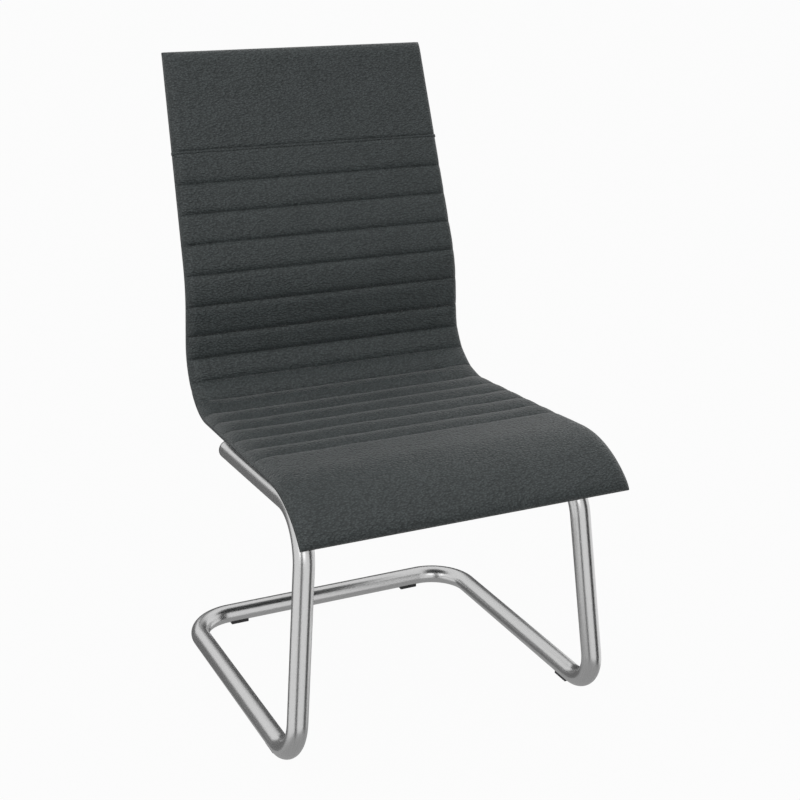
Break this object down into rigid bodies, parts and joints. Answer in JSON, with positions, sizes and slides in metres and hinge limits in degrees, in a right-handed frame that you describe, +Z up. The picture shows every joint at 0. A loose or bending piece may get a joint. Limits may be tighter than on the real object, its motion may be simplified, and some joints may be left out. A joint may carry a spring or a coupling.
{
  "type": "visitor chair",
  "caption": "Cantilever visitor chair with a bent steel tube frame and a one-piece padded shell in channelled grey-green leather.",
  "frame": {"origin": "on the floor, in the middle of the chair's width and depth", "axes": "+Z up, +X to the viewer's right when the chair is seen from the front, -Y the way the chair faces"},
  "size_m": [0.517, 0.6394, 0.9415],
  "materials": {
    "satin_steel": "satin",
    "zinc_steel": "zinc plated",
    "leather": "fine grain, semi-matt",
    "foam": "open foam, hidden",
    "plywood": "raw, hidden",
    "black_plastic": "moulded"
  },
  "bodies": {
    "root": {"frame_tube": "satin_steel", "left_end_plug": "black_plastic", "right_end_plug": "black_plastic", "front_left_glide": "black_plastic", "front_right_glide": "black_plastic", "rear_left_glide": "black_plastic", "rear_right_glide": "black_plastic", "front_left_bracket": "satin_steel", "front_right_bracket": "satin_steel", "rear_left_bracket": "satin_steel", "rear_right_bracket": "satin_steel", "seat_screws": "zinc_steel", "threaded_inserts": "zinc_steel", "shell_core": "plywood", "seat_foam": "foam", "back_foam": "foam", "seat_front_panel": "leather", "channel_panel": "leather", "head_welt": "leather", "head_panel": "leather", "under_cover": "leather", "back_cover": "leather"}
  },
  "joints": []
}
